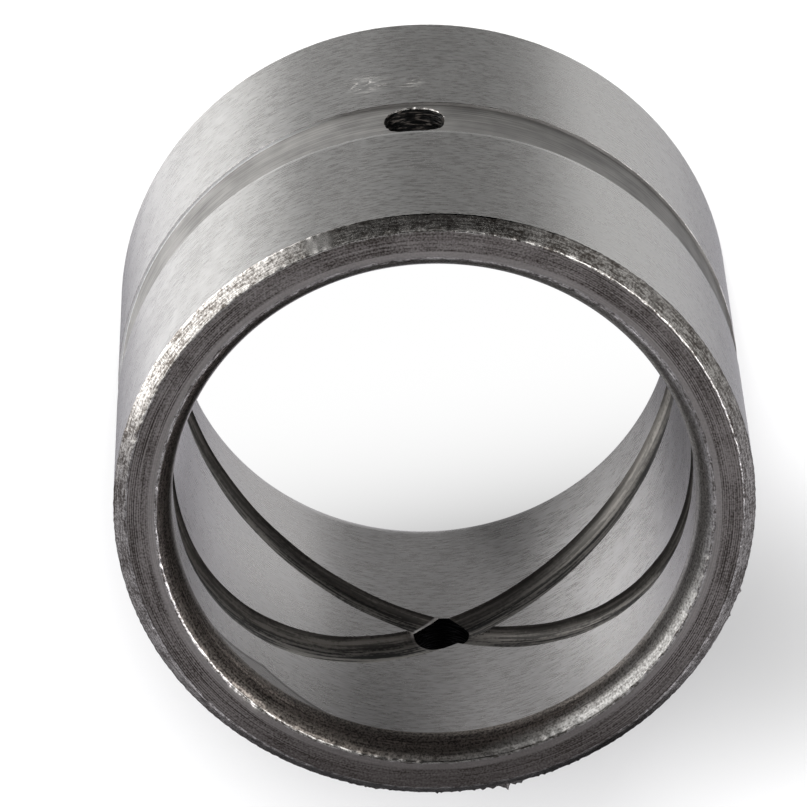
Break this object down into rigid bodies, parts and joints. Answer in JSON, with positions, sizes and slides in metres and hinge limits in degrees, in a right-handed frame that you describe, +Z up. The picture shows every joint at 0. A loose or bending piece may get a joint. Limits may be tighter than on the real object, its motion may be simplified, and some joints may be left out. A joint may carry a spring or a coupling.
{
  "type": "pin bushing",
  "caption": "Plain steel pin bushing with bevelled ends, a rounded bore mouth, crossed oil grooves, radial oil holes and an outer grease channel.",
  "frame": {"origin": "centre of the lower end face, where the bushing stands", "axes": "+Z up along the bore axis; one radial oil hole opens towards -Y and the other towards +Y"},
  "size_m": [0.11, 0.11, 0.09],
  "materials": {
    "ground_steel": "ground satin on the bore and outside, darker turned end faces"
  },
  "bodies": {
    "root": {"bushing": "ground_steel"}
  },
  "joints": []
}
